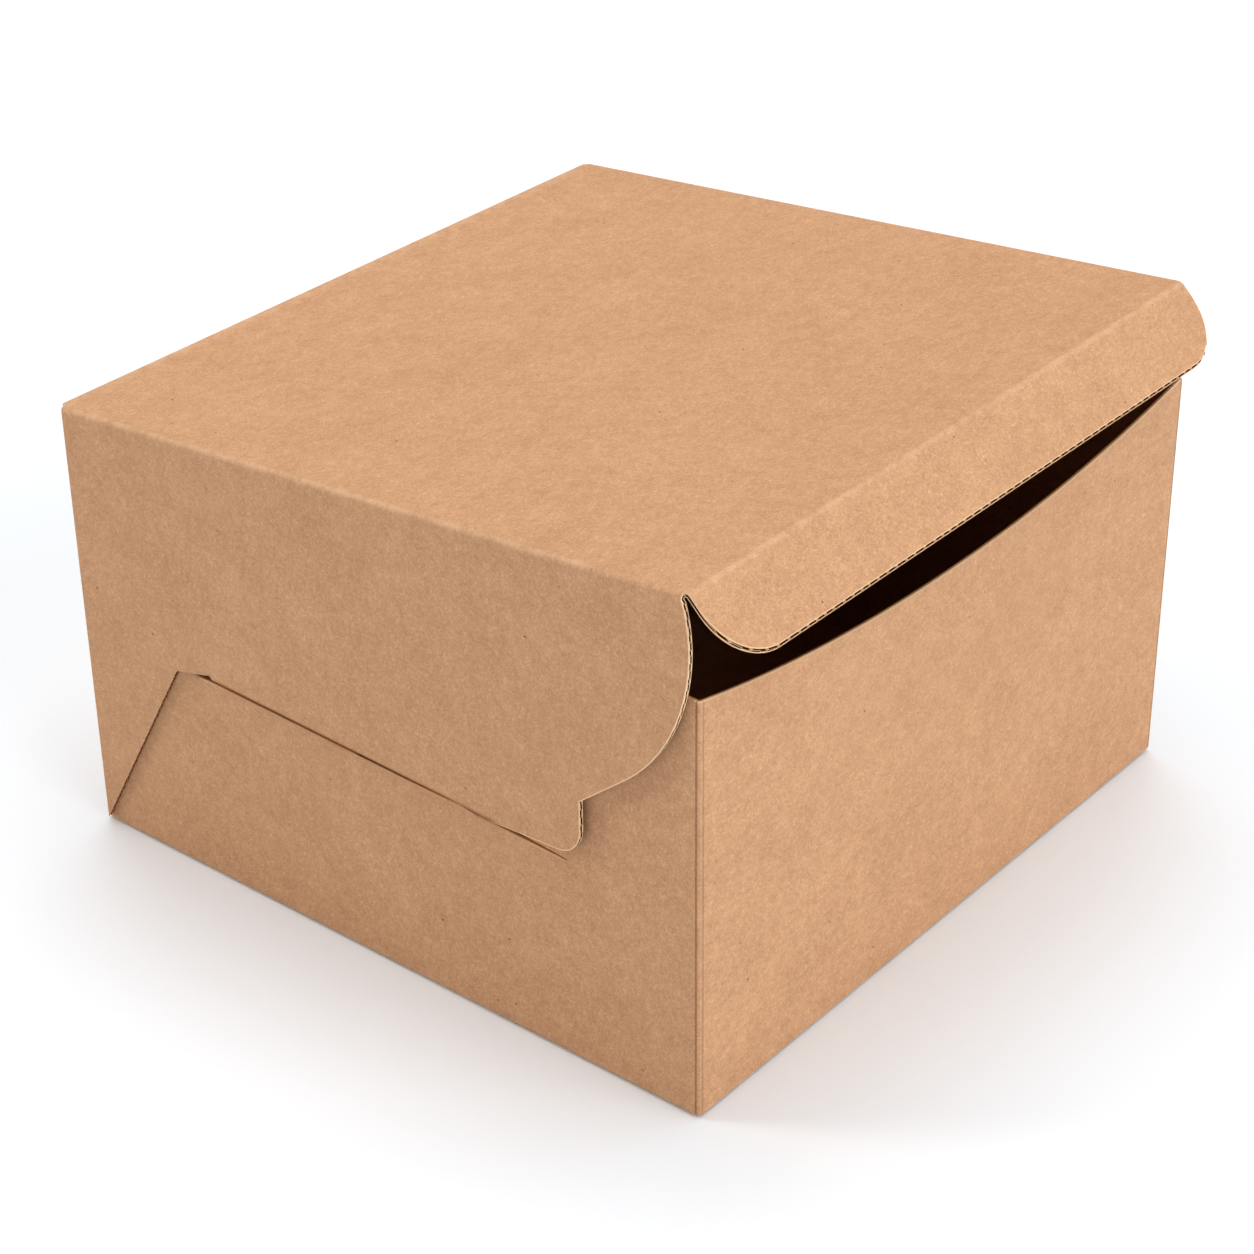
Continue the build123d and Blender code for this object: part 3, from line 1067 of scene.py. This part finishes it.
def on_lip(s, v):
    """Whether a place lies on the front wall's top edge or on a slit's lower lip."""
    if v > front_height - dish_drop - 1 * mm:
        x = run_starts[FRONT] + wall_square - s
        return abs(x) < half_width and abs(v - dish_height(x)) < 0.02 * mm
    for side_run, way in ((RIGHT, -1), (LEFT, 1)):
        y = (s - run_starts[side_run] - wall_square) * way
        if abs(y) < wall_square and slit_front.x < y < slit_back.x:
            return abs(v - slit_line(y)) < 0.02 * mm
    return False


def place_on_walls(s, v, offset):
    """Where the strip's flat points go: round the upright folds, and under at the bottom."""
    turn = max(0.0, tray_fold_radius - v) / tray_fold_middle
    reach = tray_fold_middle + offset
    if offset > half_board / 2:
        reach += score_offset(s) * math.cos(turn)
    out = reach * math.cos(turn)
    if v > tray_fold_radius:
        out += wall_bow(s, v)
    z = v if turn == 0 else tray_fold_radius - reach * math.sin(turn)
    if offset > half_board * 0.99 and on_lip(s, v):
        z -= lip_bevel
    z += foot_lift * smooth(1 - v / foot_lift_height)
    for run in range(5):
        way = run_ways[run]
        across = Vector((-way.y, way.x, 0))
        share = s - run_starts[run]
        if share <= wall_runs[run] + 1e-9:
            if share >= 0:
                start = Vector((0, wall_square, 0)) if run == BACK_RIGHT else corner_points[run - 1]
                point = start + way * share
                return point + across * out + Vector((0, 0, z))
            corner = corner_points[run - 1]
            before = run_ways[run - 1]
            before_across = Vector((-before.y, before.x, 0))
            angle = (share + tray_fold_arc) / tray_fold_middle
            direction = before_across * math.cos(angle) + across * math.sin(angle)
            return corner + direction * out + Vector((0, 0, z))
    return Vector((0, wall_square + out, z))


def slit_corners(side_run):
    """The slit's outline on a side wall: open where the tongue passes, and gaping before it on the left."""
    gap = 1 * mm if side_run == LEFT else 0.1 * mm
    # Round the opening, each as y and the height above the slit's lower lip
    profile = [
        (slit_back.x, 0),
        (slit_front.x, 0),
        (slit_front.x + 0.4 * mm, 0.9 * gap),
        (-68 * mm, 1.4 * gap),
        (-58 * mm, 1.7 * gap),
        (-47 * mm, 2.1 * gap),
        (-38 * mm, 3.2 * mm),
        (relief_foot.x - 2 * mm, 3.2 * mm),
        (relief_foot.x, 6.5 * mm),
        (relief_head.x, 6.5 * mm),
        (slit_back.x, 0.6 * mm),
    ]
    return [(along_side(side_run, y), slit_line(y) + h) for y, h in profile]


def wall_sheet(recess, step):
    """The strip, cut into a grid that is fine at the folds and round the slits."""
    sheet = FlatSheet(wall_outline(recess))
    folds = []
    for run in range(5):
        start = run_starts[run]
        folds += steps_between(start, start + wall_runs[run], step)
        if run:
            folds += [start - tray_fold_arc * k / 8 for k in range(9)]
            for k in range(1, 5):
                folds += [start + score_width * k / 4, start - tray_fold_arc - score_width * k / 4]
    sheet.cut((0, 0), (1, 0), folds)

    def below_dish(centre):
        x = run_starts[FRONT] + wall_square - centre.x
        return abs(x) > half_width or centre.y < front_height - dish_drop - 3 * mm

    foot = tray_fold_radius - tray_fold_arc
    levels = [foot + tray_fold_arc * k / 5 for k in range(1, 6)]
    levels += steps_between(tray_fold_radius, back_height, step)
    sheet.cut((0, 0), (0, 1), levels, below_dish)
    for side_run in (RIGHT, LEFT):
        sheet.open_hole(slit_corners(side_run))
    return sheet


def wall_rub_and_shading(s, v):
    """Rubbed paper and a painted highlight on the upright folds and at the foot; below zero, a score's
    brown with its painted shade.
    """
    for run in (RIGHT, FRONT, LEFT, BACK_LEFT):
        for number, brown_and_shade in enumerate(score_browns_and_shade):
            if abs(s - score_line(run, number)) < score_width * 0.6:
                return -brown_and_shade
        if abs(s - run_starts[run] + tray_fold_arc / 2) < tray_fold_arc / 2:
            return corner_rub_highlight
    return foot_rub_highlight * smooth(1 - abs(v - tray_fold_radius / 2) / foot_rub_highlight_width)


def lid_unevenness(x, u):
    """The lid's faint dents: none along its four edges."""
    across = math.sin(math.pi * (x / half_width + 1) / 2)
    along = math.sin(math.pi * max(0.0, min(1.0, u / lid_end_u)))
    hold = smooth(across * 2) * smooth(along * 2)
    wave = 0.5 * math.sin(x / (31 * mm) + 0.8) * math.cos(u / (43 * mm))
    wave += 0.3 * math.sin(x / (17 * mm) - u / (23 * mm) + 2.1)
    return hold * (0.35 * mm * wave - 0.5 * mm)


def place_on_lid(x, a, offset):
    """Where the lid's flat points go: a is measured from the back fold's end towards the front."""
    if a >= 0:
        u = back_fold_reach + a
        lift = offset - half_board + lid_unevenness(x, u)
        return lid_back + along_lid * u + above_lid * lift + Vector((x, 0, 0))
    turn = -a / fold_middle_radius
    centre = lid_back + along_lid * back_fold_reach - above_lid * fold_radius
    out = above_lid * math.cos(turn) - along_lid * math.sin(turn)
    return centre + out * (fold_middle_radius + offset) + Vector((x, 0, 0))


def lid_sheet():
    """The lid with the fold behind it; its back corners are cut round."""
    far = lid_end_u - back_fold_reach
    arc = fold_middle_radius * back_fold_turn
    right = [(half_width, far), (half_width, 1.6 * mm), (half_width - 0.5 * mm, 0.4 * mm)]
    right += [(half_width - 1.3 * mm, -0.6 * mm), (wall_square, -arc)]
    left = [(-x, a) for x, a in reversed(right)]
    sheet = FlatSheet(right + left)
    bend_cuts = [-arc * k / 6 for k in range(6)]
    sheet.cut((0, 0), (0, 1), bend_cuts + steps_between(0, far, skin_grid))
    sheet.cut((0, 0), (1, 0), steps_between(-half_width, half_width, skin_grid))
    return sheet


def lid_rub_and_highlight(x, a):
    """Rubbed paper and a painted highlight on the back fold."""
    return lid_rub_highlight * smooth(1 - abs(a) / lid_rub_highlight_width)


def place_on_bottom(x, y, offset):
    """The bottom sags: its middle stands on the floor, and its edges are a little above it."""
    reach = max(abs(x), abs(y)) / wall_square
    return Vector((x, y, half_board + offset + foot_lift * reach**2))


def make_tray(materials):
    """The tray and the lid, which stay with the box: walls of two liners, the bottom and the lid."""
    pile = Pile()
    outer = wall_sheet(0, skin_grid)
    filling = wall_sheet(core_recess, hidden_grid)
    lining = wall_sheet(inner_recess, hidden_grid)
    core_low = liner - half_board
    core_high = half_board - tray_liner
    pile.add_layer(outer, core_high, half_board, place_on_walls, wall_rub_and_shading, (OUTSIDE, GAP_SHADE, CUT))
    pile.add_layer(lining, -half_board, core_low, place_on_walls, no_wear, (GAP_SHADE, INSIDE_SHADE, CORE))
    pile.add_layer(filling, core_low, core_high, place_on_walls, no_wear, (CORE, CORE, CORE))
    corners = [(corner.x, corner.y) for corner in reversed(corner_points)]
    bottom = FlatSheet(corners)
    bottom.cut((0, 0), (1, 0), steps_between(-wall_square, wall_square, bottom_grid))
    bottom.cut((0, 0), (0, 1), steps_between(-wall_square, wall_square, bottom_grid))
    pile.add_layer(bottom, -half_board, half_board, place_on_bottom, no_wear, (INSIDE_SHADE, OUTSIDE, INSIDE_SHADE))
    pile.add_layer(lid_sheet(), -half_board, half_board, place_on_lid, lid_rub_and_highlight, (OUTSIDE, INSIDE_SHADE, CUT))
    tray = pile.make_object("tray_and_lid_board", materials)
    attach(tray, "box")
    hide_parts("tray_and_lid")
    return tray


make_camera()
make_floor()
make_lights()
bending = board_materials(True)
still = board_materials(False)
make_tray(still)
make_flap(bending)
make_ear("left_ear_board", -1, ("left_ear", "left_ear_tongue"), bending)
make_ear("right_ear_board", 1, ("right_ear", "right_ear_tongue"), bending)

scene = bpy.context.scene
scene.view_settings.view_transform = "Standard"
